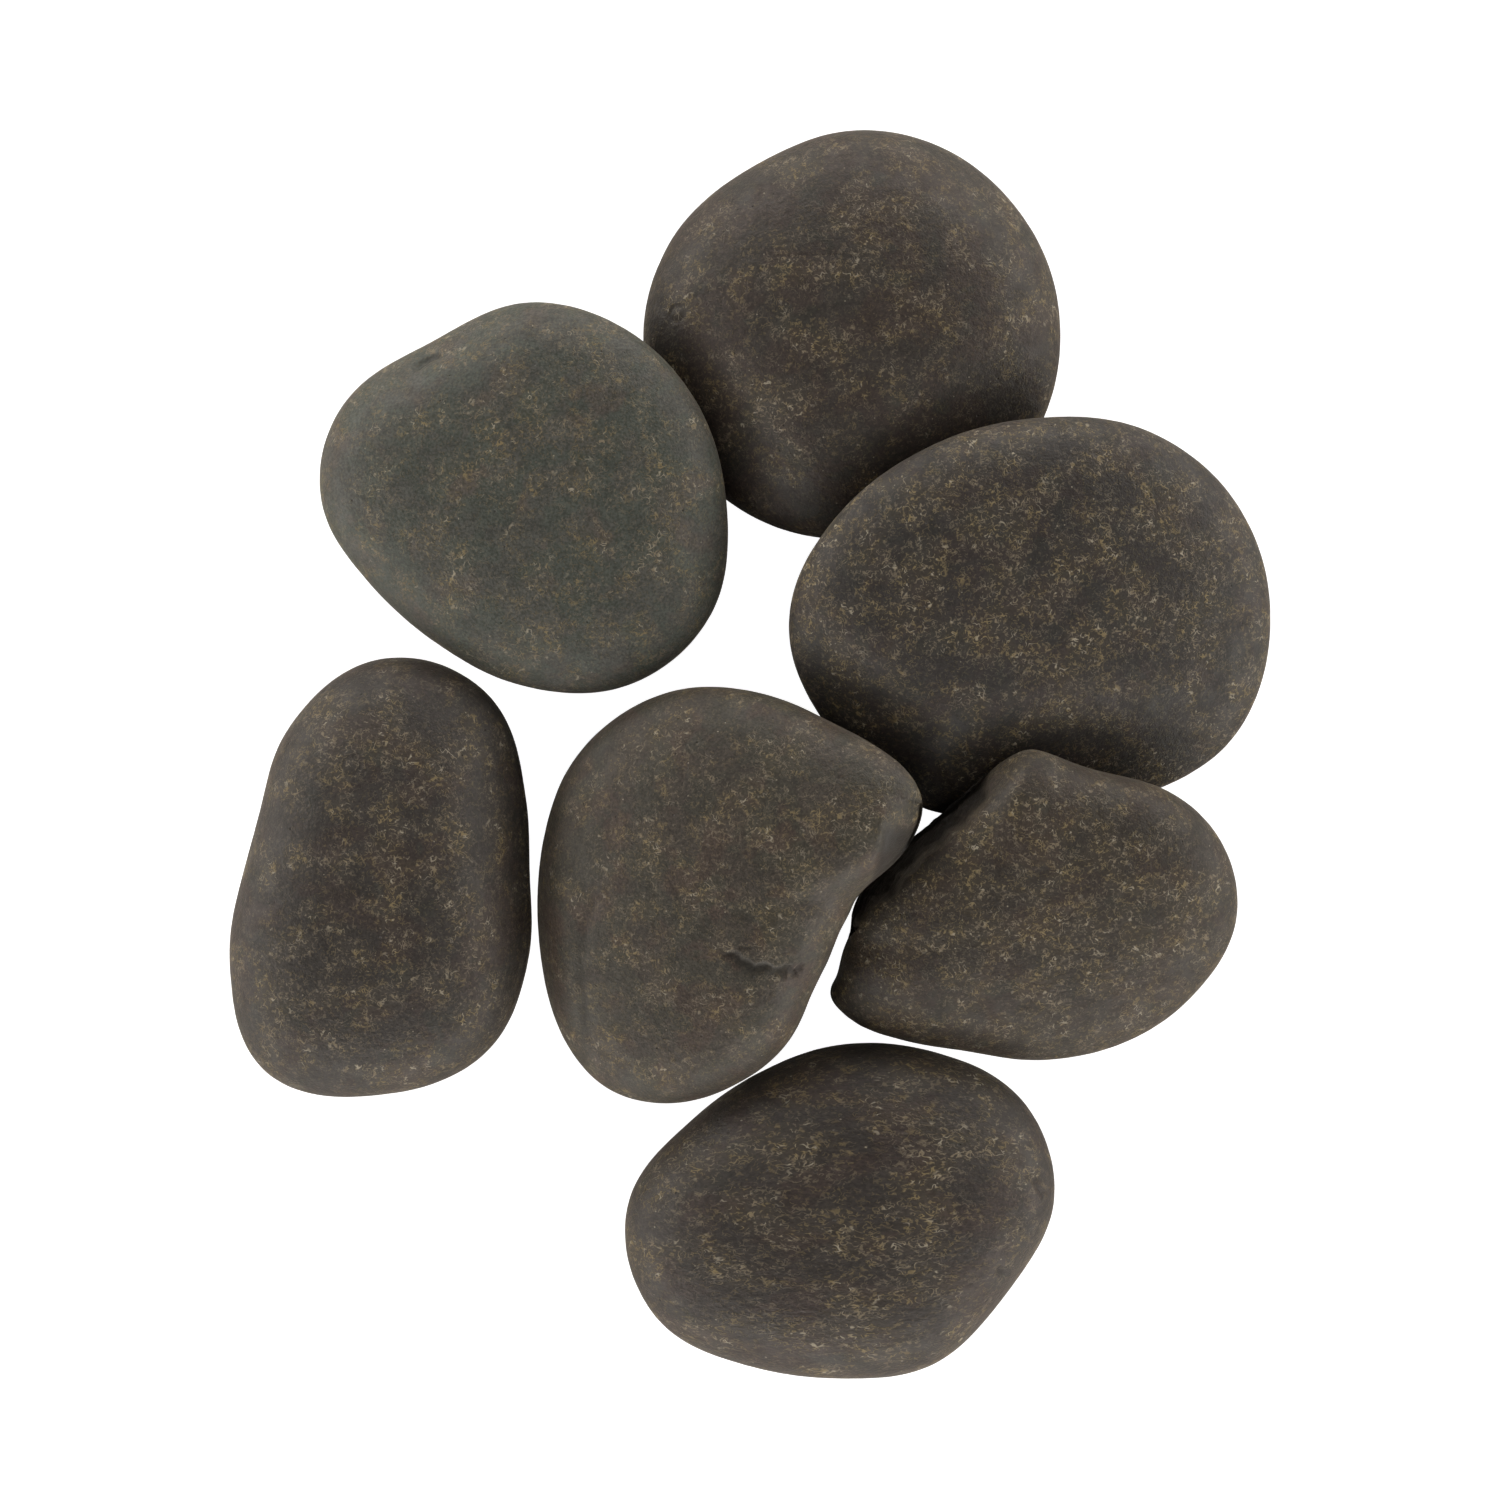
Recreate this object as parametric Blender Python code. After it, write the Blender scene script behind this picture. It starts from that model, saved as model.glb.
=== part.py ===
"""Seven loose basalt massage stones lying against one another on a table.

Each stone is its own solid. A stone is a quad sphere drawn out to its plan outline and its thickness,
ground flat where the real one has a worn face, and scooped where a flake has broken away. The stones are
then settled in the order a hand would lay them down: flat ones on the table, leaning ones tipped up until
they clear what they lean on. Metres, +Z up, origin on the table under the middle of the group.
"""

import math

import bmesh
import bpy
import numpy as np
from mathutils import Matrix, Vector
from mathutils.bvhtree import BVHTree

MM = 0.001

# Settling
CONTACT_GAP = 0.4 * MM  # air left where one stone touches another
STEEPEST_LEAN = 20.0  # degrees; a stone that would need more is drawn back instead
LONGEST_RETREAT = 80 * MM
LIFT = 60 * MM  # how far a stone is lifted away, and clear of its neighbours all the way
LIFT_STEPS = 12
SOLVER_STEPS = 14

# Wear
SOLE_DEPTH = 0.7 * MM  # worn off the underside, which leaves a true flat to stand on
SOFTNESS = 1.2 * MM  # how far a worn face's edge is rounded

# Mesh
SEGMENTS = 16  # quads along each edge of the starting cube


def evenly(*radii):
    """An outline given by its radii at equal steps, anticlockwise from +X."""
    step = 360 / len(radii)
    return [(number * step, radius) for number, radius in enumerate(radii)]


# Each stone: size is its width along X, depth along Y and thickness before it is tipped, in mm. The outline
# is shape only, (bearing in degrees, distance from the middle to the rim), and is stretched to the size.
# place is where the middle of its plan stands. dome and keel are how square the upper and lower halves are
# in section: 2 is an ellipse. belly is the height of the widest line, as a share of the thickness. A flat is
# (bearing, slope above level, depth ground away). A bite is (bearing, distance from the middle, radius): a
# notch broken out of the rim. A stone with a lean_side is tipped up on that bearing, and one with draw_back
# is moved that way if it is in another's way. crowd draws the mesh's points together towards a bearing, by
# that share, where the shape turns sharply.
STONES = {
    "round_stone": {
        "size": (70.0, 68.5, 29.0),
        "place": (17.0, 69.5),
        "outline": evenly(35, 35, 35, 34, 32.5, 34, 35, 34.5, 34.5, 34, 34.5, 35),
        "dome": 2.3,
        "keel": 2.2,
        "belly": 0.42,
        "flats": [(212, 50, 3.2), (306, 54, 4.2), (50, 40, 1.0)],
        "colour": (0.060, 0.051, 0.042),
    },
    "large_stone": {
        "size": (81.0, 68.0, 29.0),
        "place": (46.5, 21.5),
        "outline": evenly(40, 39, 36.5, 33.5, 34, 37, 40, 38, 36, 33.5, 35.5, 39.5),
        "lean_side": 125,
        "dome": 2.3,
        "keel": 2.0,
        "belly": 0.58,
        "flats": [(126, -56, 5.0), (277, 57, 5.5), (222, 50, 4.0)],
        "colour": (0.059, 0.050, 0.043),
    },
    "green_stone": {
        "size": (68.5, 65.0, 28.0),
        "place": (-37.5, 42.0),
        "outline": evenly(33.5, 33, 32.5, 32, 30, 33.5, 33.5, 29, 28, 31, 35.5, 36.5),
        "lean_side": 40,
        "dome": 2.5,
        "keel": 2.1,
        "belly": 0.58,
        "flats": [(38, -54, 4.2), (120, 40, 1.6), (350, 40, 1.2)],
        "colour": (0.083, 0.077, 0.063),
    },
    "notched_stone": {
        "size": (68.5, 56.0, 27.0),
        "place": (47.0, -24.5),
        "outline": [
            (358, 34),
            (17, 33.5),
            (35, 31.5),
            (47, 29.5),
            (60, 27),
            (76, 26.5),
            (90, 29),
            (98, 30.8),
            (105, 29.6),
            (111, 26.5),
            (118, 24.3),
            (128, 23.3),
            (145, 23.6),
            (154, 25),
            (163, 27),
            (180, 30),
            (190, 31),
            (198, 35),
            (206, 37.5),
            (211, 36.5),
            (224, 32),
            (246, 27),
            (270, 26.5),
            (300, 28),
            (331, 31),
        ],
        "lean_side": 100,
        "dome": 2.4,
        "keel": 2.1,
        "belly": 0.58,
        "flats": [(98, -58, 6.0), (200, 42, 2.0), (134, 12, 3.2)],
        "bites": [(199, 37.5, 3.4)],
        "crowd": (180, 0.45),
        "colour": (0.073, 0.060, 0.046),
    },
    "knobbed_stone": {
        "size": (67.0, 69.5, 30.0),
        "place": (-3.5, -24.0),
        "outline": [
            (6, 24.5),
            (12, 29.5),
            (18, 34),
            (24, 37.2),
            (33, 38),
            (44, 36),
            (57, 34),
            (75, 34),
            (105, 35),
            (135, 34),
            (165, 32),
            (190, 33),
            (215, 35.5),
            (240, 37.5),
            (259, 34.5),
            (275, 30.5),
            (292, 26.5),
            (311, 21.5),
            (328, 20),
            (350, 20.5),
        ],
        "lean_side": 10,
        "dome": 2.5,
        "keel": 2.1,
        "belly": 0.6,
        "flats": [(35, -50, 4.5), (345, -46, 2.0), (185, 35, 1.5)],
        "crowd": (10, 0.35),
        "colour": (0.074, 0.063, 0.050),
    },
    "egg_stone": {
        "size": (72.0, 56.0, 28.0),
        "place": (15.0, -76.0),
        "outline": evenly(35.5, 35.5, 30.5, 27.5, 26.5, 29, 35.5, 35.5, 30, 28, 30, 31.5),
        "dome": 2.3,
        "keel": 2.2,
        "belly": 0.47,
        "draw_back": 270,
        "flats": [(325, 20, 0.8)],
        "colour": (0.065, 0.055, 0.047),
    },
    "long_stone": {
        "size": (50.5, 73.5, 29.0),
        "place": (-61.5, -21.0),
        "outline": evenly(25, 28, 35.5, 36.5, 29.5, 23, 23, 29, 38, 36.5, 34.5, 28.5),
        "dome": 2.4,
        "keel": 2.2,
        "belly": 0.48,
        "draw_back": 180,
        "flats": [(5, 40, 2.0)],
        "colour": (0.065, 0.056, 0.049),
    },
}


def rim_radius(outline, bearing):
    """The outline's radius at each bearing in radians, on a smooth closed curve through its points."""
    turn = 2 * math.pi
    points = sorted((math.radians(angle) % turn, radius) for angle, radius in outline)
    knots, radii = np.array(points).T
    knots = np.concatenate([knots[-2:] - turn, knots, knots[:2] + turn])
    radii = np.concatenate([radii[-2:], radii, radii[:2]])
    slopes = np.gradient(radii, knots)
    bearing = np.mod(bearing, turn)
    start = np.searchsorted(knots, bearing, side="right") - 1
    span = knots[start + 1] - knots[start]
    t = (bearing - knots[start]) / span
    rest = 1 - t
    leaving = (1 + 2 * t) * radii[start] + t * span * slopes[start]
    arriving = (1 + 2 * rest) * radii[start + 1] - rest * span * slopes[start + 1]
    return rest**2 * leaving + t**2 * arriving


def quad_sphere(segments):
    """A unit sphere of even quads: a gridded cube whose points are pushed out to the sphere."""
    ball = bmesh.new()
    bmesh.ops.create_cube(ball, size=2)
    bmesh.ops.subdivide_edges(
        ball, edges=ball.edges[:], cuts=segments - 1, use_grid_fill=True
    )
    for vertex in ball.verts:
        # Equal angles instead of equal lengths keep the quads near the cube's corners from crowding.
        spread = Vector(math.tan(c * math.pi / 4) for c in vertex.co)
        vertex.co = spread.normalized()
    return ball


def rough_pebble(sphere, spec):
    """The sphere's points drawn out to the stone's outline and section, in mm."""
    across, deep, thick = spec["size"]
    level = np.hypot(sphere[:, 0], sphere[:, 1])
    bearing = np.arctan2(sphere[:, 1], sphere[:, 0])
    if "crowd" in spec:
        towards, share = spec["crowd"]
        bearing = bearing - share * np.sin(bearing - math.radians(towards))
    full_turn = np.radians(np.arange(360.0))
    whole = rim_radius(spec["outline"], full_turn)
    whole_x, whole_y = whole * np.cos(full_turn), whole * np.sin(full_turn)
    middle_x = (whole_x.min() + whole_x.max()) / 2
    middle_y = (whole_y.min() + whole_y.max()) / 2
    radius = rim_radius(spec["outline"], bearing)
    above = sphere[:, 2] > 0
    square = np.where(above, spec["dome"], spec["keel"])
    height = thick * np.where(above, 1 - spec["belly"], spec["belly"])
    fill = (level**square + np.abs(sphere[:, 2]) ** square) ** (-1 / square)
    return np.column_stack(
        [
            across / np.ptp(whole_x) * (radius * np.cos(bearing) * level * fill - middle_x),
            deep / np.ptp(whole_y) * (radius * np.sin(bearing) * level * fill - middle_y),
            height * sphere[:, 2] * fill,
        ]
    )


def grind_flat(points, bearing, slope, depth):
    """Wears a face square to the given direction, depth mm below the stone's furthest point that way."""
    bearing, slope = math.radians(bearing), math.radians(slope)
    out = np.array(
        [
            math.cos(bearing) * math.cos(slope),
            math.sin(bearing) * math.cos(slope),
            math.sin(slope),
        ]
    )
    reach = points @ out
    beyond = reach - (reach.max() - depth)
    soft = SOFTNESS / MM
    return points - np.outer(soft * np.logaddexp(0, beyond / soft), out)


def bite(points, bearing, distance, radius):
    """Breaks an upright round notch out of the rim: points within it are pushed back to its wall."""
    bearing = math.radians(bearing)
    middle = distance * np.array([math.cos(bearing), math.sin(bearing)])
    away = points[:, :2] - middle
    apart = np.linalg.norm(away, axis=1)
    push = SOFTNESS / MM * np.logaddexp(0, (radius - apart) * MM / SOFTNESS)
    pushed = points.copy()
    pushed[:, :2] += away * (push / apart)[:, None]
    return pushed


def make_stone(name, spec, collection):
    ball = quad_sphere(SEGMENTS)
    points = rough_pebble(np.array([v.co for v in ball.verts]), spec)
    for flat in spec["flats"]:
        points = grind_flat(points, *flat)
    for notch in spec.get("bites", []):
        points = bite(points, *notch)
    sole = points[:, 2].min() + SOLE_DEPTH / MM
    points[:, 2] = np.maximum(points[:, 2], sole)
    for vertex, point in zip(ball.verts, points, strict=True):
        vertex.co = Vector(point) * MM
    mesh = bpy.data.meshes.new(name)
    ball.to_mesh(mesh)
    ball.free()
    mesh.shade_smooth()
    mesh.materials.append(basalt(name, spec["colour"]))
    stone = bpy.data.objects.new(name, mesh)
    collection.objects.link(stone)
    return stone


def basalt(name, colour):
    """Unpolished basalt: nearly black, matt, and a little different on each stone."""
    material = bpy.data.materials.new(name + "_basalt")
    material.use_nodes = True
    shader = material.node_tree.nodes["Principled BSDF"]
    shader.inputs["Base Color"].default_value = (*colour, 1)
    shader.inputs["Roughness"].default_value = 0.7
    shader.inputs["Metallic"].default_value = 0
    return material


def world_points(stone):
    turn = np.array(stone.matrix_basis.to_3x3())
    points = np.array([v.co for v in stone.data.vertices])
    return points @ turn.T + np.array(stone.location)


def tree_of(stone, points):
    return BVHTree.FromPolygons(
        points.tolist(), [face.vertices[:] for face in stone.data.polygons]
    )


def depth_in(tree, points):
    """The least distance from the points to the surface, below zero for a point inside it."""
    least = math.inf
    for point in points:
        spot, normal, _, distance = tree.find_nearest(point)
        inside = (Vector(point) - spot).dot(normal) < 0
        least = min(least, -distance if inside else distance)
    return least


def clearance(stone, laid, rises):
    """The least gap between this stone and those already laid, below zero where they run into each other.

    It is measured with the stone raised by each of the rises in turn.
    """
    gap = math.inf
    points = world_points(stone)
    for rise in rises:
        raised = points + np.array([0, 0, rise])
        tree = tree_of(stone, raised)
        low, high = raised.min(axis=0), raised.max(axis=0)
        for other_points, other_tree in laid:
            above = other_points > low - CONTACT_GAP
            below = other_points < high + CONTACT_GAP
            near = (above & below).all(axis=1)
            if near.any():
                gap = min(gap, depth_in(tree, other_points[near].tolist()))
                gap = min(gap, depth_in(other_tree, raised.tolist()))
    return gap


def stand(stone, spec, lean, retreat):
    """Sets a stone on the table at its place, its lean side raised and the whole of it drawn back."""
    side = math.radians(spec.get("lean_side", 0))
    back = math.radians(spec.get("draw_back", spec.get("lean_side", 0) + 180))
    hinge = Vector((math.sin(side), -math.cos(side), 0))
    stone.rotation_euler = Matrix.Rotation(math.radians(lean), 3, hinge).to_euler()
    x, y = spec["place"]
    stone.location = (
        x * MM + retreat * math.cos(back),
        y * MM + retreat * math.sin(back),
        0,
    )
    stone.location.z = -world_points(stone)[:, 2].min()


def least_that_clears(move, most, clear):
    """Tries ever closer values of a move, and leaves the stone at the smallest that clears the others."""
    move(0)
    if clear():
        return
    short, enough = 0.0, most
    for _ in range(SOLVER_STEPS):
        middle = (short + enough) / 2
        move(middle)
        if clear():
            enough = middle
        else:
            short = middle
    move(enough)


def settle(stone, spec, laid):
    """Lays a stone down: tipped up onto what it overlaps, and drawn back if tipping isn't enough."""
    leans = "lean_side" in spec
    rises = [0] if leans else np.linspace(0, LIFT, LIFT_STEPS)

    def clear():
        return clearance(stone, laid, rises) >= CONTACT_GAP

    if leans:
        least_that_clears(lambda lean: stand(stone, spec, lean, 0), STEEPEST_LEAN, clear)
        if clear():
            return
    lean = STEEPEST_LEAN if leans else 0
    least_that_clears(
        lambda retreat: stand(stone, spec, lean, retreat), LONGEST_RETREAT, clear
    )


def main():
    for old in list(bpy.data.objects):
        bpy.data.objects.remove(old)
    group = bpy.data.collections.new("basalt_massage_stones")
    bpy.context.scene.collection.children.link(group)
    stones = []
    laid = []
    for name, spec in STONES.items():
        stone = make_stone(name, spec, group)
        settle(stone, spec, laid)
        points = world_points(stone)
        laid.append((points, tree_of(stone, points)))
        stones.append(stone)
    everything = np.concatenate([points for points, _ in laid])
    middle = (everything.min(axis=0) + everything.max(axis=0)) / 2
    for stone in stones:
        stone.location.x -= middle[0]
        stone.location.y -= middle[1]


main()
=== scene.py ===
# %% [markdown]
# # A group of basalt massage stones
#
# Hot stone massage is given with river-tumbled basalt: dark, dense pebbles that hold their warmth. The group
# is seven loose stones lying on a white table. Four of them are tipped up onto a neighbour.
#
# The solids of the frame already have each stone's outline, thickness and lean. What they lack is skin. This
# file takes a copy of each solid, refines it, wears it with Geometry Nodes, breaks out the few marks that
# single stones have, and gives it a procedural basalt.

# %% Load the frame
import math

import bmesh
import bpy
import numpy as np
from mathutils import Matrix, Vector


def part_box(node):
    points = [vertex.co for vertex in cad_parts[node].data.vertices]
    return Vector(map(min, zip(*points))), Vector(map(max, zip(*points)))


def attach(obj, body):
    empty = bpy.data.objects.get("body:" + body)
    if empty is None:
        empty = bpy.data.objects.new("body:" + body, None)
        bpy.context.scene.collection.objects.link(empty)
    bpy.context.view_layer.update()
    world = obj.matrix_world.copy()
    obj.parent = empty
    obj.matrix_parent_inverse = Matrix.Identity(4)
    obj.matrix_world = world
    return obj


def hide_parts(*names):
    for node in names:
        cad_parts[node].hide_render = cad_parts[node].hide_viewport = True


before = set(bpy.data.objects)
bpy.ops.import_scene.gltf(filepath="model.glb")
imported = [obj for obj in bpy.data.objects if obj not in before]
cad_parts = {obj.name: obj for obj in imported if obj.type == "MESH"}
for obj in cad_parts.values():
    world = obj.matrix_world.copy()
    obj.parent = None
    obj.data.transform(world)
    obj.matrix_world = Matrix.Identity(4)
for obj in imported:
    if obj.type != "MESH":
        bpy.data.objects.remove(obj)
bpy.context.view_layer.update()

MM = 0.001

# %% [markdown]
# ## What sets each stone apart
#
# No two pebbles match. Each one has its own dark ground colour, its own share of brown and green patches,
# and its own amount of the pale mineral that lies over it in fine curls. These are kept in one table, so
# that the steps below are the same for every stone.
#
# Colours are linear. `brown`, `green` and `curls` run from 0 to 1, and `streak` is how far the pattern is
# drawn out, with the bearing that it runs along.

# %% The stones
STONES = {
    "round_stone": dict(
        body="round",
        ground=(0.0205, 0.0164, 0.0143),
        brown=0.5,
        green=0.2,
        curls=0.45,
    ),
    "large_stone": dict(
        body="large",
        ground=(0.0145, 0.0121, 0.0122),
        brown=0.4,
        green=0.35,
        curls=0.6,
    ),
    "green_stone": dict(
        body="green",
        ground=(0.0445, 0.0468, 0.0420),
        brown=0.3,
        green=0.5,
        curls=0.5,
    ),
    "notched_stone": dict(
        body="notched",
        ground=(0.0172, 0.0128, 0.0096),
        brown=0.45,
        green=0.2,
        curls=0.62,
    ),
    "knobbed_stone": dict(
        body="knobbed",
        ground=(0.0315, 0.0254, 0.0203),
        brown=0.45,
        green=0.45,
        curls=0.45,
    ),
    "egg_stone": dict(
        body="egg",
        ground=(0.0214, 0.0173, 0.0162),
        brown=0.4,
        green=0.15,
        curls=0.52,
        streak=(1.7, 0),
    ),
    "long_stone": dict(
        body="long",
        ground=(0.0214, 0.0181, 0.0170),
        brown=0.4,
        green=0.2,
        curls=0.5,
    ),
}
for name in STONES:
    low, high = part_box(name)
    print(name, [round(1000 * side, 1) for side in high - low], "mm")

# %% [markdown]
# ## Refining the solid
#
# A solid from the frame is loose triangles. On a copy, merging the doubles joins them, and pairs of triangles
# go back to quads, which subdivide evenly. Catmull-Clark subdivision then rounds the facets away without
# moving the shape, and leaves quads about half a millimetre across: fine enough for the wear below to be real
# geometry.

# %% Turn live modifiers into a plain mesh


def settle(piece):
    graph = bpy.context.evaluated_depsgraph_get()
    finished = bpy.data.meshes.new_from_object(piece.evaluated_get(graph))
    piece.modifiers.clear()
    piece.data = finished


# %% A refined copy of one solid
SUBDIVISIONS = 3
WELD = 0.001 * MM
QUAD_ANGLE = math.radians(60)


def refined_copy(node):
    mesh = bpy.data.objects[node].data.copy()
    work = bmesh.new()
    work.from_mesh(mesh)
    bmesh.ops.remove_doubles(work, verts=work.verts[:], dist=WELD)
    bmesh.ops.join_triangles(
        work,
        faces=work.faces[:],
        angle_face_threshold=QUAD_ANGLE,
        angle_shape_threshold=math.pi,
    )
    work.to_mesh(mesh)
    work.free()
    mesh.shade_smooth()
    piece = bpy.data.objects.new(node + "_skin", mesh)
    bpy.context.scene.collection.objects.link(piece)
    rounding = piece.modifiers.new("rounding", "SUBSURF")
    rounding.levels = rounding.render_levels = SUBDIVISIONS
    settle(piece)
    return piece


# %% [markdown]
# ## Marks that one stone has and the others don't
#
# Some marks belong to one stone only: a flake that has come off one face, a groove, a scratch, a ring, the
# steep side under a knob. They could be sculpted by hand or cut with Booleans. Here each one is a line drawn
# over the stone in plan, in mm from the middle of its box, and every point of the mesh near the line is
# pushed in by a rule that depends on its distance from it. That keeps the mesh whole and even.
#
# A `groove` is pushed in along the line, to nothing at its ends. A `scar` is a flake's bed: it drops sharply
# on the line's right-hand side and comes back up with distance. A `drop` is a steep side: beyond the line,
# again on its right, the surface falls and then runs on lower down. Any other kind only darkens: it is
# painted shade, for a part of the stone that lies in shadow. Each mark may also say how dark (`scar`) and how
# rough (`broken`) it leaves the stone. That darkening is the colour of bare, unweathered rock on a flake's
# bed, in a groove or a chip; under the knob and in the marks that only darken it is painted shade, and on the
# notched stone's broken edge it is both. The two values are kept as attributes of the mesh, where the wear
# and the material read them.

# %% Distance from a line drawn over a stone


def points_of(mesh):
    flat = np.empty(3 * len(mesh.vertices))
    mesh.vertices.foreach_get("co", flat)
    return flat.reshape(-1, 3)


def normals_of(mesh):
    flat = np.empty(3 * len(mesh.vertices))
    mesh.vertices.foreach_get("normal", flat)
    return flat.reshape(-1, 3)


def put_points(mesh, points):
    mesh.vertices.foreach_set("co", points.ravel())
    mesh.update()


def ease(value, start, end):
    t = np.clip((value - start) / (end - start), 0, 1)
    return t * t * (3 - 2 * t)


def measure_from(path, plan):
    """For each plan point: its distance from the path, positive on the right, and how far along it is."""
    path = np.array(path, float)
    lengths = np.linalg.norm(np.diff(path, axis=0), axis=1)
    begun = np.concatenate([[0], np.cumsum(lengths)])
    away = np.full(len(plan), np.inf)
    along = np.zeros(len(plan))
    for start, end, length, before in zip(path, path[1:], lengths, begun):
        line = (end - start) / length
        off = plan - start
        run = np.clip(off @ line, 0, length)
        gap = np.linalg.norm(off - run[:, None] * line, axis=1)
        right = np.where(line[1] * off[:, 0] - line[0] * off[:, 1] > 0, 1, -1)
        closer = gap < np.abs(away)
        away[closer] = (gap * right)[closer]
        along[closer] = ((before + run) / begun[-1])[closer]
    return away, along


# %% Pressing the marks in
UPPER_LIMIT = -0.05  # a normal's Z: faces below this are the underside, and take no marks
END_SHARE = 0.15  # the share of a line's length over which a mark fades out at each end
RIM_FADE = 0.4  # a normal's Z: a drop fades out from here to the rim, where the side is upright


def ring(x, y, radius, corners=6):
    turns = [2 * math.pi * step / corners for step in range(corners + 1)]
    return [(x + radius * math.cos(turn), y + radius * math.sin(turn)) for turn in turns]


def press_marks(piece, node, marks):
    """Pushes the marks into the piece, and writes how dark and how broken each point is."""
    low, high = np.array(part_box(node))
    mesh = piece.data
    points = points_of(mesh)
    normals = normals_of(mesh)
    plan = (points[:, :2] - (low + high)[:2] / 2) / MM
    upper = normals[:, 2] > UPPER_LIMIT
    shade = {"scar": np.zeros(len(points)), "broken": np.zeros(len(points))}
    for mark in marks:
        away, along = measure_from(mark["path"], plan)
        ends = 1 if mark.get("open") else ease(np.minimum(along, 1 - along), 0, END_SHARE)
        width, depth = mark["width"], mark.get("depth", 0)
        if mark["kind"] == "groove":
            share = np.exp(-((away / width) ** 2)) * ends * upper
            points -= normals * (share * depth * MM)[:, None]
        elif mark["kind"] == "scar":
            back = width * np.sqrt(np.clip(4 * along * (1 - along), 0.02, 1))
            share = ease(away, -0.15, 0.2) * (1 - ease(away, 0.25 * back, back)) * ends * upper
            points -= normals * (share * depth * MM)[:, None]
        elif mark["kind"] == "drop":
            share = ease(away, 0, width) * ends * upper
            points[:, 2] -= share * ease(normals[:, 2], 0, RIM_FADE) * depth * MM
        else:
            # Any other kind is painted shade: it changes no shape, and only sets how dark the colour goes
            # near the line.
            share = (1 - ease(np.abs(away), 0.3 * width, width)) * upper
        for name in shade:
            strength = mark.get(name, 0) * np.where(upper, share, 0)
            shade[name] = np.maximum(shade[name], strength)
    put_points(mesh, points)
    for name, values in shade.items():
        mesh.attributes.new(name, "FLOAT", "POINT").data.foreach_set("value", values)


# %% The marks of each stone
FLAKE_EDGE = [
    (-2.0, -9.6),
    (-0.4, -8.8),
    (0.7, -8.6),
    (2.1, -9.1),
    (2.3, -9.7),
    (3.7, -10.1),
    (4.4, -10.8),
    (6.3, -10.4),
    (7.6, -11.2),
    (8.7, -11.3),
    (9.3, -10.8),
    (10.5, -10.9),
    (10.9, -11.6),
    (12.0, -10.4),
    (13.4, -10.5),
]
UNDER_KNOB = [
    (11.0, -21.5),
    (13.8, -15.5),
    (16.6, -10.0),
    (19.7, -2.9),
    (22.8, 2.9),
    (24.0, 7.0),
    (24.6, 11.2),
    (24.9, 14.0),
    (25.1, 17.0),
    (26.5, 20.5),
]
LEFT_LINE = [(-21.0, 2.0), (-23.1, -3.5), (-23.9, -10.0), (-23.6, -19.0), (-22.3, -24.5), (-18.6, -27.5)]
BROKEN_EDGE = [
    (-5.5, 26.2),
    (-7.3, 21.9),
    (-7.7, 17.4),
    (-9.9, 15.3),
    (-11.4, 13.2),
    (-13.9, 11.6),
    (-15.1, 9.9),
    (-18.0, 8.4),
    (-19.7, 6.0),
    (-21.7, 4.6),
    (-23.0, 1.6),
    (-26.2, 0.2),
    (-28.9, -3.0),
]

RIM_HOLLOW = [(-18.0, 20.9), (-15.9, 22.6), (-13.2, 23.6)]
HAIR_CRACK = [(24.5, -1.6), (31.0, -1.0), (37.0, -1.2)]
RIGHT_SIDE = [(18.5, -27.0), (20.0, -13.0), (19.6, 13.0), (17.5, 27.0)]

MARKS = {
    "knobbed_stone": [
        dict(kind="drop", path=UNDER_KNOB, width=7.0, depth=2.4),
        # Painted shade: this mark's scar value darkens the steep side under the knob, which faces into the
        # group and lies in shadow.
        dict(kind="drop", path=UNDER_KNOB[2:8], width=1.3, depth=0.6, scar=1.0),
        dict(kind="scar", path=FLAKE_EDGE, width=2.6, depth=0.42, scar=0.64),
        dict(kind="groove", path=[(1.6, -7.9), (2.8, -8.1), (4.2, -7.9)], width=0.35, depth=0.2, scar=0.51),
        dict(kind="groove", path=LEFT_LINE, width=1.1, depth=0.28, scar=0.29),
    ],
    "green_stone": [
        dict(kind="groove", path=RIM_HOLLOW, width=0.7, depth=0.7, scar=0.45),
    ],
    "round_stone": [
        dict(kind="groove", path=[(-14.0, 11.5), (-6.0, 11.3), (2.6, 11.4)], width=0.22, depth=0.08),
        dict(kind="groove", path=ring(-29.0, 2.6, 1.3), width=0.3, depth=0.2, scar=0.38, open=True),
    ],
    "large_stone": [
        dict(kind="groove", path=HAIR_CRACK, width=0.35, depth=0.16, scar=0.32),
    ],
    "long_stone": [
        dict(kind="drop", path=RIGHT_SIDE, width=4.0, depth=1.2),
        dict(kind="groove", path=ring(-3.6, 18.6, 1.5), width=0.3, depth=0.14, scar=0.26, open=True),
    ],
    "egg_stone": [
        dict(kind="groove", path=[(32.2, 5.6), (33.6, 3.6)], width=0.6, depth=0.6, scar=0.51, open=True),
        dict(kind="groove", path=[(26.2, -9.0), (27.2, -9.8)], width=0.6, depth=0.5, scar=0.51, open=True),
    ],
    "notched_stone": [
        # The broken edge is rough, bare rock; its scar value darkens it partly as unweathered rock and partly
        # as painted shade, for the steep face that lies in the knobbed stone's shadow.
        dict(kind="drop", path=BROKEN_EDGE, width=1.6, depth=4.0, broken=1.0, scar=0.8, open=True),
        # Painted shade: a patch near the notched stone's +Y end, darkened where it lies in shade; the shape
        # stays as it is.
        dict(kind="painted_shade", path=[(6.5, 19.5), (9.0, 17.0)], width=5.0, scar=0.19),
        dict(kind="groove", path=[(-0.4, 5.8), (0.7, 6.0)], width=0.9, depth=0.12, scar=0.45, open=True),
    ],
}
print(sum(len(marks) for marks in MARKS.values()), "marks")

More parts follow.
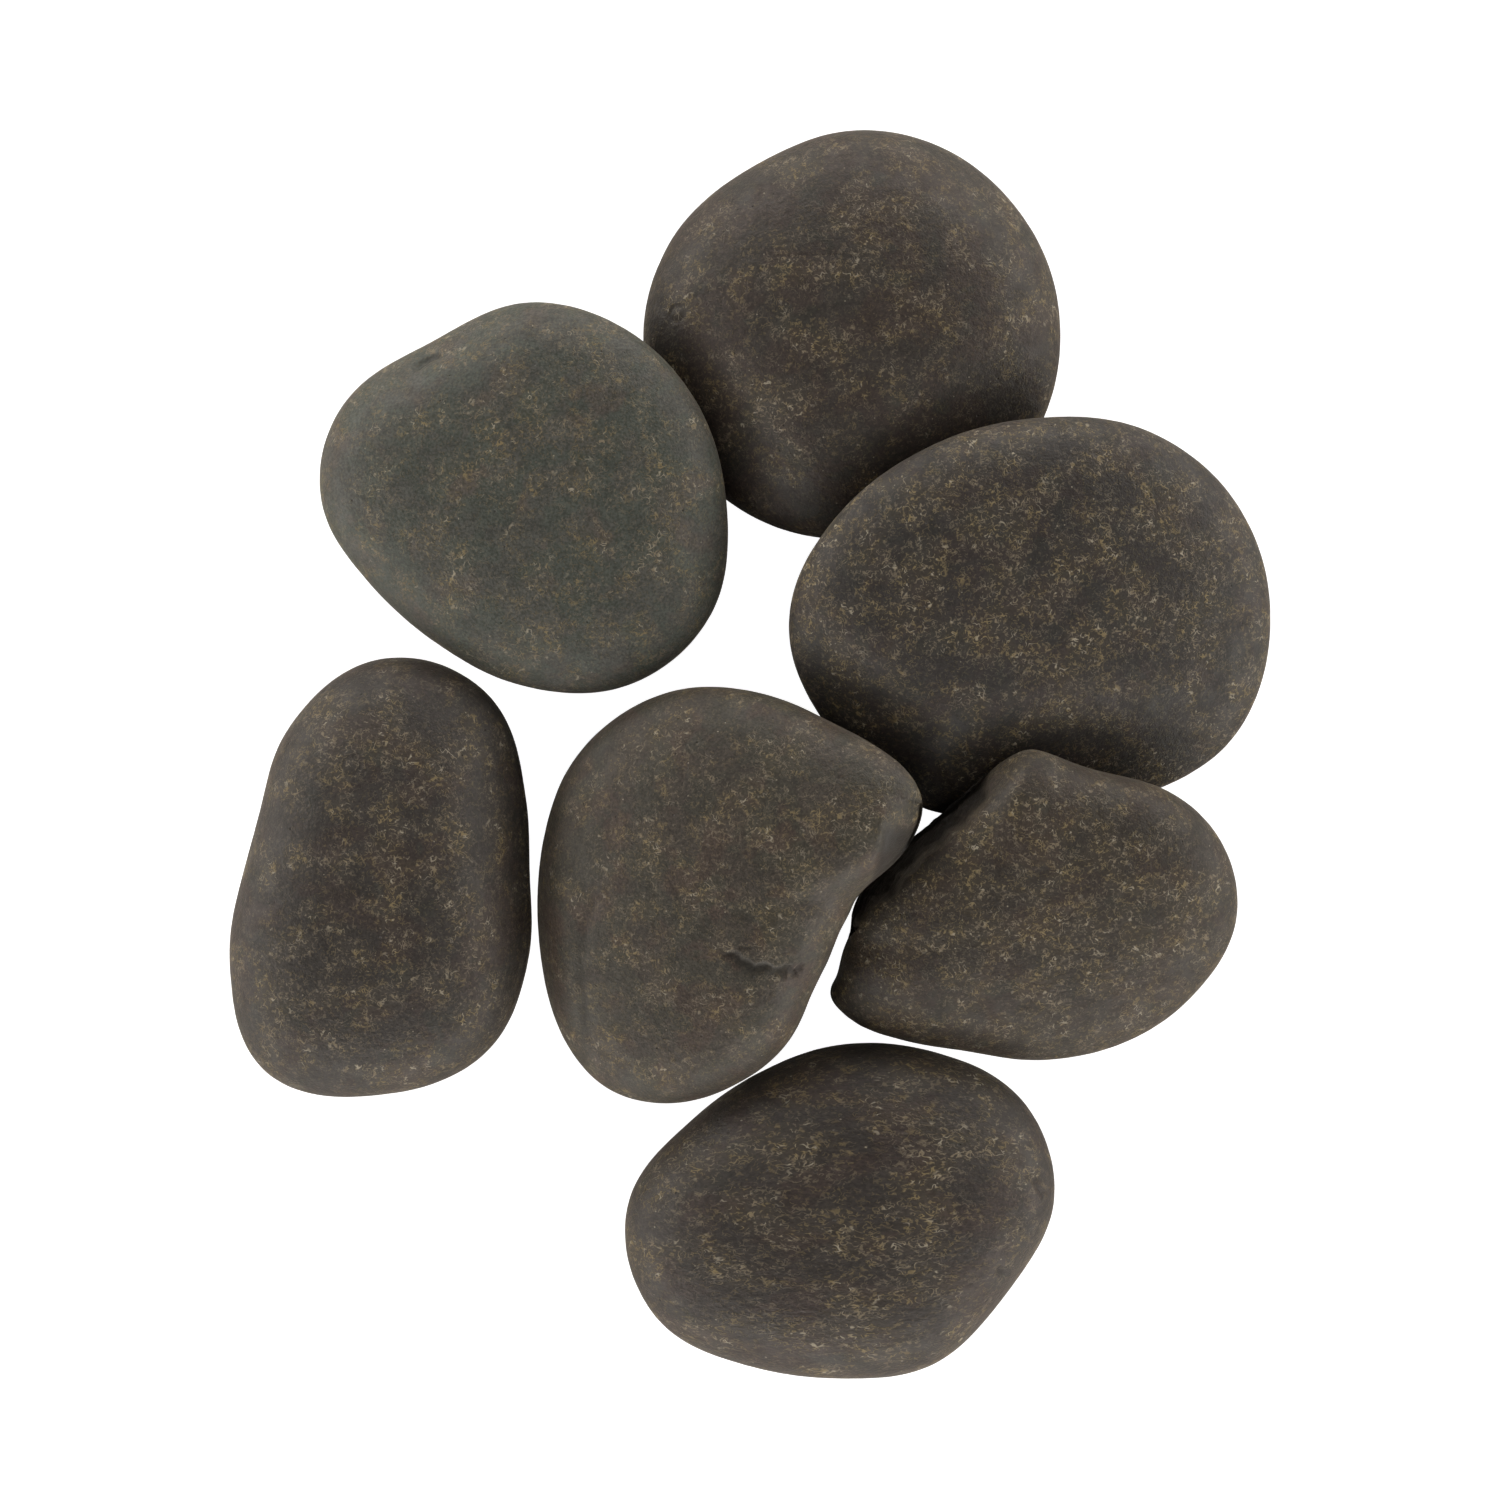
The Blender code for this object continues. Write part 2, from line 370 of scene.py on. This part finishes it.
# %% [markdown]
# ## Wear, as a Geometry Nodes tree
#
# A tumbled stone is never a true curve. It has slow swells, finer ripples over them, and pits where grains
# have dropped out. All three follow a rule, so one tree makes them for every stone: two noises push the
# surface in and out along its normal, and points scattered over the faces each press a small dent. The
# inputs are sizes and a seed, so each stone is worn differently by the same tree.

# %% Small helpers for building trees


def add_node(tree, kind, settings=None, **inputs):
    """Adds a node, sets its properties, and links or sets its inputs by name (spaces written as _)."""
    node = tree.nodes.new(kind)
    for key, value in (settings or {}).items():
        setattr(node, key, value)
    for key, value in inputs.items():
        wanted = key.replace("_", " ")
        if wanted.startswith("in "):
            socket = node.inputs[int(wanted[3:])]
        else:
            socket = next(s for s in node.inputs if s.name == wanted and s.enabled)
        if isinstance(value, bpy.types.NodeSocket):
            tree.links.new(value, socket)
        else:
            socket.default_value = value
    return node


def calc(tree, operation, *values, clamp=False):
    """One Math node; the values are numbers or sockets."""
    node = tree.nodes.new("ShaderNodeMath")
    node.operation = operation
    node.use_clamp = clamp
    for socket, value in zip(node.inputs, values):
        if isinstance(value, bpy.types.NodeSocket):
            tree.links.new(value, socket)
        else:
            socket.default_value = value
    return node.outputs[0]


def fade(tree, value, start, end, low=0.0, high=1.0):
    """Eases from low to high as the value goes from start to end."""
    node = add_node(
        tree,
        "ShaderNodeMapRange",
        {"interpolation_type": "SMOOTHSTEP"},
        Value=value,
        From_Min=start,
        From_Max=end,
        To_Min=low,
        To_Max=high,
    )
    return node.outputs["Result"]


# %% The wear tree
WEAR_INPUTS = [
    ("Swell Height", "NodeSocketFloat", 0.16 * MM),
    ("Swell Size", "NodeSocketFloat", 16 * MM),
    ("Ripple Height", "NodeSocketFloat", 0.05 * MM),
    ("Ripple Size", "NodeSocketFloat", 2.6 * MM),
    ("Pits per Square Metre", "NodeSocketFloat", 16000.0),
    ("Pit Radius", "NodeSocketFloat", 0.9 * MM),
    ("Pit Depth", "NodeSocketFloat", 0.13 * MM),
    ("Break Height", "NodeSocketFloat", 0.55 * MM),
    ("Break Size", "NodeSocketFloat", 2.6 * MM),
    ("Seed", "NodeSocketInt", 0),
    ("Material", "NodeSocketMaterial", None),
]


def wear_tree():
    tree = bpy.data.node_groups.new("tumbled wear", "GeometryNodeTree")
    face = tree.interface
    face.new_socket("Geometry", in_out="INPUT", socket_type="NodeSocketGeometry")
    for title, kind, value in WEAR_INPUTS:
        socket = face.new_socket(title, in_out="INPUT", socket_type=kind)
        if value is not None:
            socket.default_value = value
    face.new_socket("Geometry", in_out="OUTPUT", socket_type="NodeSocketGeometry")
    given = tree.nodes.new("NodeGroupInput").outputs
    seed = given["Seed"]

    def roughness_of(height, size, detail, step):
        noise = add_node(
            tree,
            "ShaderNodeTexNoise",
            {"noise_dimensions": "4D"},
            W=calc(tree, "MULTIPLY_ADD", seed, 7.3, step),
            Scale=calc(tree, "DIVIDE", 1.0, size),
            Detail=detail,
        )
        centred = calc(tree, "SUBTRACT", noise.outputs[0], 0.5)
        return calc(tree, "MULTIPLY", centred, calc(tree, "MULTIPLY", height, 2.0))

    swell = roughness_of(given["Swell Height"], given["Swell Size"], 1.0, 0.0)
    ripple = roughness_of(given["Ripple Height"], given["Ripple Size"], 2.0, 3.1)

    broken = add_node(tree, "GeometryNodeInputNamedAttribute", {"data_type": "FLOAT"}, Name="broken")
    rubble = roughness_of(given["Break Height"], given["Break Size"], 3.0, 5.7)
    rubble = calc(tree, "MULTIPLY", rubble, broken.outputs[0])

    pits = add_node(
        tree,
        "GeometryNodeDistributePointsOnFaces",
        Mesh=given["Geometry"],
        Density=given["Pits per Square Metre"],
        Seed=seed,
    )
    nearest_pit = add_node(
        tree,
        "GeometryNodeProximity",
        {"target_element": "POINTS"},
        in_0=pits.outputs["Points"],
    )
    which_pit = add_node(tree, "GeometryNodeSampleNearest", in_0=pits.outputs["Points"])
    luck = add_node(
        tree,
        "FunctionNodeRandomValue",
        {"data_type": "FLOAT"},
        ID=which_pit.outputs[0],
        Seed=seed,
    )
    reach = calc(tree, "MULTIPLY", given["Pit Radius"], luck.outputs[1])
    dent = fade(tree, nearest_pit.outputs["Distance"], reach, 0.0)
    dent = calc(tree, "MULTIPLY", dent, given["Pit Depth"])
    dent = calc(tree, "MULTIPLY", dent, luck.outputs[1])

    height = calc(tree, "ADD", calc(tree, "ADD", swell, ripple), rubble)
    height = calc(tree, "SUBTRACT", height, dent)
    normal = tree.nodes.new("GeometryNodeInputNormal")
    push = add_node(
        tree,
        "ShaderNodeVectorMath",
        {"operation": "SCALE"},
        Vector=normal.outputs[0],
        Scale=height,
    )
    moved = add_node(
        tree,
        "GeometryNodeSetPosition",
        Geometry=given["Geometry"],
        Offset=push.outputs[0],
    )
    whole = add_node(tree, "GeometryNodeRealizeInstances", Geometry=moved.outputs[0])
    finished = add_node(
        tree,
        "GeometryNodeSetMaterial",
        Geometry=whole.outputs[0],
        Material=given["Material"],
    )
    out = tree.nodes.new("NodeGroupOutput")
    tree.links.new(finished.outputs[0], out.inputs[0])
    return tree


wear = wear_tree()
print("wear tree:", len(wear.nodes), "nodes")

# %% [markdown]
# ## Wearing a stone
#
# The tree's inputs are set by their identifiers before the piece is first evaluated. Nothing may sink into
# the table, so the underside is brought back up to it where the wear has pushed it through.

# %% Apply the wear


def wear_down(piece, seed, material):
    modifier = piece.modifiers.new("wear", "NODES")
    modifier.node_group = wear
    wanted = {"Seed": seed, "Material": material}
    for item in wear.interface.items_tree:
        if item.in_out == "INPUT" and item.name in wanted:
            modifier[item.identifier] = wanted[item.name]
    settle(piece)
    points = points_of(piece.data)
    points[:, 2] = np.maximum(points[:, 2], 0)
    put_points(piece.data, points)


# %% [markdown]
# ## The basalt
#
# Basalt is a fine, nearly black mixture of minerals. Close to, the ground is a warm dark grey with reddish
# brown patches and greenish ones, and over it lies a fine tangle of pale tan curls, each about a fifth of a
# millimetre wide and a millimetre or two long. The stone isn't polished: it has a faint, broad sheen that
# shows only where it is seen at a low angle, and a thin dust that catches the light there too.
#
# A curl could be drawn with a Voronoi edge, but those run in straight lines between corners. The contour
# line of a smooth noise is curly and closes on itself, and a second noise cuts it into short lengths, so
# that is what makes the curls here. One node group holds the whole recipe. Each stone's material gives it
# its own colours and its own place in the noise.

# %% The colours of the minerals
TAN = (0.190, 0.155, 0.103, 1)
GOLD = (0.200, 0.152, 0.070, 1)
CREAM = (0.330, 0.295, 0.225, 1)
# Two darkening colours: the first for pin holes, the second for scars of unweathered rock, which also paints
# shade where a mark stands for a part of the stone in shadow.
SHADOW = (0.42, 0.40, 0.39, 1)  # the ground is multiplied by this in a hole
FRESH_ROCK_AND_SHADE = (0.22, 0.19, 0.18, 1)  # and by this in a scar


def mix_colour(tree, share, first, second, blend="MIX"):
    node = tree.nodes.new("ShaderNodeMix")
    node.data_type = "RGBA"
    node.blend_type = blend
    sockets = [node.inputs["Factor"], node.inputs[6], node.inputs[7]]
    for socket, value in zip(sockets, (share, first, second)):
        if isinstance(value, bpy.types.NodeSocket):
            tree.links.new(value, socket)
        else:
            socket.default_value = value
    return node.outputs[2]


# %% The basalt recipe, as a shared node group
RECIPE_INPUTS = [
    ("Place", "NodeSocketVector"),
    ("Ground", "NodeSocketColor"),
    ("Brown", "NodeSocketColor"),
    ("Green", "NodeSocketColor"),
    ("Brown Share", "NodeSocketFloat"),
    ("Green Share", "NodeSocketFloat"),
    ("Curls", "NodeSocketFloat"),
    ("Scar", "NodeSocketFloat"),
]
RECIPE_OUTPUTS = [
    ("Colour", "NodeSocketColor"),
    ("Roughness", "NodeSocketFloat"),
    ("Height", "NodeSocketFloat"),
]


def basalt_recipe():
    tree = bpy.data.node_groups.new("basalt", "ShaderNodeTree")
    face = tree.interface
    for title, kind in RECIPE_INPUTS:
        face.new_socket(title, in_out="INPUT", socket_type=kind)
    for title, kind in RECIPE_OUTPUTS:
        face.new_socket(title, in_out="OUTPUT", socket_type=kind)
    given = tree.nodes.new("NodeGroupInput").outputs

    def noise(size, detail=2.0, distortion=0.0, shift=0.0):
        """Noise with features about this size in metres. A shift reads another part of it."""
        moved = add_node(
            tree,
            "ShaderNodeVectorMath",
            {"operation": "ADD"},
            in_0=given["Place"],
            in_1=(shift, shift, shift),
        )
        node = add_node(
            tree,
            "ShaderNodeTexNoise",
            Vector=moved.outputs[0],
            Scale=1 / size,
            Detail=detail,
            Distortion=distortion,
        )
        return node.outputs[0]

    def patches(size, share, shift, edge=0.05):
        """1 inside patches that cover about this share of the stone."""
        level = calc(tree, "MULTIPLY_ADD", share, -0.42, 0.71)
        value = calc(tree, "SUBTRACT", noise(size, 3.0, 0.3, shift), level)
        return fade(tree, value, -edge, edge)

    # The ground, with its brown and green patches, and a grain far finer than they are.
    brown = patches(8 * MM, given["Brown Share"], 0.1)
    colour = mix_colour(tree, brown, given["Ground"], given["Brown"])
    colour = mix_colour(tree, patches(6 * MM, given["Green Share"], 0.7), colour, given["Green"])
    cloud = fade(tree, noise(3 * MM, 5.0, shift=0.3), 0.3, 0.7, 0.86, 1.14)
    grain = fade(tree, noise(0.45 * MM, 4.0, shift=0.5), 0.34, 0.66, 0.66, 1.34)
    colour = mix_colour(tree, 1.0, colour, calc(tree, "MULTIPLY", cloud, grain), "MULTIPLY")

    # Curls: contour lines of a noise, cut to length by another.
    def curls(size, width, shift, cut):
        away = calc(tree, "ABSOLUTE", calc(tree, "SUBTRACT", noise(size, 0.5, 0.8, shift), 0.5))
        line = fade(tree, away, width, 0.3 * width)
        kept = fade(tree, noise(1.3 * size, 1.0, 0.0, shift + 0.4), cut, cut + 0.1)
        return calc(tree, "MULTIPLY", line, kept)

    plenty = calc(tree, "MULTIPLY_ADD", given["Curls"], 0.3, -0.15)
    where = calc(tree, "ADD", noise(6 * MM, 6.0, shift=1.1), plenty)
    bare = calc(tree, "SUBTRACT", 1.0, given["Scar"])
    thick = calc(tree, "MULTIPLY", fade(tree, where, 0.43, 0.62, 0.04, 1.0), bare)
    thin = calc(tree, "MULTIPLY", fade(tree, where, 0.34, 0.60, 0.30, 1.0), bare)
    fine = calc(tree, "MULTIPLY", curls(0.65 * MM, 0.075, 2.3, 0.46), thin)
    bold = calc(tree, "MULTIPLY", curls(1.0 * MM, 0.06, 2.9, 0.5), thick)
    kind = fade(tree, noise(3.5 * MM, 1.0, shift=3.7), 0.42, 0.58)
    pale = mix_colour(tree, kind, GOLD, TAN)
    bright = mix_colour(tree, fade(tree, noise(1.7 * MM, 1.0, shift=3.9), 0.5, 0.66), pale, CREAM)
    colour = mix_colour(tree, calc(tree, "MULTIPLY", thick, 0.07), colour, pale)
    colour = mix_colour(tree, calc(tree, "MULTIPLY", fine, 0.52), colour, pale)
    colour = mix_colour(tree, calc(tree, "MULTIPLY", bold, 0.85), colour, bright)

    # Specks: the middles of some Voronoi cells.
    cells = add_node(tree, "ShaderNodeTexVoronoi", Vector=given["Place"], Scale=1 / (1.2 * MM))
    chosen = add_node(tree, "ShaderNodeSeparateColor", Color=cells.outputs["Color"])
    speck = fade(tree, cells.outputs["Distance"], 0.15, 0.05)
    speck = calc(tree, "MULTIPLY", speck, fade(tree, chosen.outputs[0], 0.8, 1.0))
    colour = mix_colour(tree, calc(tree, "MULTIPLY", speck, 0.75), colour, CREAM)

    # Pin holes: dark, and lower than the rest.
    holes = add_node(tree, "ShaderNodeTexVoronoi", Vector=given["Place"], Scale=1 / (2.0 * MM))
    hole_luck = add_node(tree, "ShaderNodeSeparateColor", Color=holes.outputs["Color"])
    hole = fade(tree, holes.outputs["Distance"], 0.13, 0.05)
    hole = calc(tree, "MULTIPLY", hole, fade(tree, hole_luck.outputs[1], 0.6, 0.9))
    dark = mix_colour(tree, 1.0, colour, SHADOW, "MULTIPLY")
    colour = mix_colour(tree, hole, colour, dark)
    # Scar darkening: unweathered rock on a flake's bed, in a groove or a chip, and painted shade where a mark
    # stands for a part of the stone in shadow.
    scarred_and_shaded = mix_colour(tree, 1.0, colour, FRESH_ROCK_AND_SHADE, "MULTIPLY")
    colour = mix_colour(tree, given["Scar"], colour, scarred_and_shaded)

    polish = fade(tree, noise(3 * MM, 3.0, shift=4.3), 0.3, 0.7, 0.5, 0.66)
    lines = calc(tree, "MAXIMUM", fine, bold)
    rough = calc(tree, "ADD", polish, calc(tree, "MULTIPLY", lines, 0.1))

    height = calc(tree, "MULTIPLY", noise(0.35 * MM, 3.0, shift=5.1), 0.8)
    height = calc(tree, "ADD", height, calc(tree, "MULTIPLY", noise(1.4 * MM, 3.0, shift=5.9), 1.4))
    height = calc(tree, "ADD", height, calc(tree, "MULTIPLY", lines, 0.2))
    height = calc(tree, "SUBTRACT", height, calc(tree, "MULTIPLY", hole, 1.2))

    out = tree.nodes.new("NodeGroupOutput")
    for title, value in (("Colour", colour), ("Roughness", rough), ("Height", height)):
        tree.links.new(value, out.inputs[title])
    return tree


recipe = basalt_recipe()
print("basalt recipe:", len(recipe.nodes), "nodes")

# %% A stone's own material
TOOTH_DEPTH = 0.11 * MM
BROWN_TINT = np.array([1.17, 0.98, 0.95])
GREEN_TINT = np.array([0.90, 1.01, 0.96])


def basalt(name, number, spec):
    material = bpy.data.materials.new(name + " basalt")
    material.use_nodes = True
    tree = material.node_tree
    shader = tree.nodes["Principled BSDF"]
    shader.inputs["Specular IOR Level"].default_value = 0.45
    shader.inputs["Sheen Weight"].default_value = 0.16
    shader.inputs["Sheen Roughness"].default_value = 0.45
    shader.inputs["Sheen Tint"].default_value = (1.0, 0.9, 0.78, 1)
    where = tree.nodes.new("ShaderNodeTexCoord")
    stretch, bearing = spec.get("streak", (1.0, 0))
    placed = add_node(
        tree,
        "ShaderNodeMapping",
        Vector=where.outputs["Object"],
        Location=(0.37 * number, 0.21 * number, 0.13 * number),
        Rotation=(0, 0, math.radians(-bearing)),
        Scale=(1 / stretch, 1, 1),
    )
    stone = tree.nodes.new("ShaderNodeGroup")
    stone.node_tree = recipe
    tree.links.new(placed.outputs[0], stone.inputs["Place"])
    ground = np.array(spec["ground"])
    stone.inputs["Ground"].default_value = (*ground, 1)
    stone.inputs["Brown"].default_value = (*(ground * BROWN_TINT), 1)
    stone.inputs["Green"].default_value = (*(ground * GREEN_TINT), 1)
    stone.inputs["Brown Share"].default_value = spec["brown"]
    stone.inputs["Green Share"].default_value = spec["green"]
    stone.inputs["Curls"].default_value = spec["curls"]
    # The scar attribute: darkening for unweathered rock, and painted shade under the knob, on the notched
    # stone's broken edge and in the marks that only darken.
    scar = tree.nodes.new("ShaderNodeAttribute")
    scar.attribute_name = "scar"
    tree.links.new(scar.outputs["Fac"], stone.inputs["Scar"])
    bump = add_node(
        tree,
        "ShaderNodeBump",
        Strength=1.0,
        Distance=TOOTH_DEPTH,
        Height=stone.outputs["Height"],
    )
    tree.links.new(stone.outputs["Colour"], shader.inputs["Base Color"])
    tree.links.new(stone.outputs["Roughness"], shader.inputs["Roughness"])
    tree.links.new(bump.outputs[0], shader.inputs["Normal"])
    return material


# %% Make every stone
for number, (name, spec) in enumerate(STONES.items()):
    piece = refined_copy(name)
    press_marks(piece, name, MARKS.get(name, []))
    wear_down(piece, number, basalt(name, number, spec))
    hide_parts(name)
    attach(piece, spec["body"])
    print(piece.name, len(piece.data.polygons), "faces")

# %% [markdown]
# ## The table, the light and the camera
#
# The stones lie on a white table with soft light all round them, low down, and little from straight above,
# where the camera is. That is what gives each stone a pale rim on its open side and a dark one towards its
# neighbours. The world does this by itself, as a bright band above the horizon that fades with height. A
# white table is lit until it burns out, and a thin second sheet that only the camera sees makes up the part
# of that which the stones would otherwise shade, without throwing light back up into the gaps.

# %% Table
TABLE_REACH = 3.0
TABLE_DROP = 0.2 * MM
TABLE_WHITE = 0.5
GLOW_STRENGTH = 1.0


def sheet(name, drop):
    mesh = bpy.data.meshes.new(name)
    work = bmesh.new()
    bmesh.ops.create_grid(work, x_segments=1, y_segments=1, size=TABLE_REACH)
    work.to_mesh(mesh)
    work.free()
    flat = bpy.data.objects.new(name, mesh)
    flat.location.z = -drop
    bpy.context.scene.collection.objects.link(flat)
    return flat


table = sheet("table", TABLE_DROP)
white = bpy.data.materials.new("white table")
white.use_nodes = True
paint = white.node_tree.nodes["Principled BSDF"]
paint.inputs["Base Color"].default_value = (TABLE_WHITE, TABLE_WHITE, TABLE_WHITE, 1)
paint.inputs["Roughness"].default_value = 0.9
table.data.materials.append(white)

# %% The table's glow
glow_sheet = sheet("table_glow", TABLE_DROP / 2)
glow = bpy.data.materials.new("table glow")
glow.use_nodes = True
glow_nodes = glow.node_tree.nodes
glow_nodes.clear()
clear_part = glow_nodes.new("ShaderNodeBsdfTransparent")
glow_part = add_node(glow.node_tree, "ShaderNodeEmission", Strength=GLOW_STRENGTH)
both = glow_nodes.new("ShaderNodeAddShader")
glow.node_tree.links.new(clear_part.outputs[0], both.inputs[0])
glow.node_tree.links.new(glow_part.outputs[0], both.inputs[1])
glow_out = glow_nodes.new("ShaderNodeOutputMaterial")
glow.node_tree.links.new(both.outputs[0], glow_out.inputs[0])
glow_sheet.data.materials.append(glow)
glow_sheet.visible_diffuse = False
glow_sheet.visible_glossy = False
glow_sheet.visible_transmission = False
glow_sheet.visible_volume_scatter = False
glow_sheet.visible_shadow = False

# %% Light
WARM_WHITE = (1.0, 0.95, 0.88, 1)
HORIZON_STRENGTH = 4.6
ZENITH_STRENGTH = 0.15
BAND_TOP = 0.55  # sine of the height where the bright band has faded out
BAND_EDGE = 0.25  # and of the height where it starts to fade

world = bpy.data.worlds.new("light tent")
bpy.context.scene.world = world
world.use_nodes = True
sky = world.node_tree
direction = sky.nodes.new("ShaderNodeTexCoord")
upward = add_node(sky, "ShaderNodeSeparateXYZ", Vector=direction.outputs["Generated"])
strength = fade(sky, upward.outputs["Z"], BAND_EDGE, BAND_TOP, HORIZON_STRENGTH, ZENITH_STRENGTH)
backdrop = sky.nodes["Background"]
backdrop.inputs["Color"].default_value = WARM_WHITE
sky.links.new(strength, backdrop.inputs["Strength"])

# %% Camera
LENS = 100  # mm, as the camera has it
SENSOR = 36
VIEW_WIDTH = 250 * MM  # what the camera takes in at the height of the stones' rims
RIM_HEIGHT = 14 * MM
CAMERA_SHIFT = 0.63 * MM  # towards +Y
camera = bpy.data.cameras.new("camera")
camera.lens = LENS
camera.sensor_width = SENSOR
holder = bpy.data.objects.new("camera", camera)
bpy.context.scene.collection.objects.link(holder)
holder.location = (0, CAMERA_SHIFT, RIM_HEIGHT + VIEW_WIDTH * LENS / SENSOR)
bpy.context.scene.camera = holder
bpy.context.scene.view_settings.view_transform = "Standard"
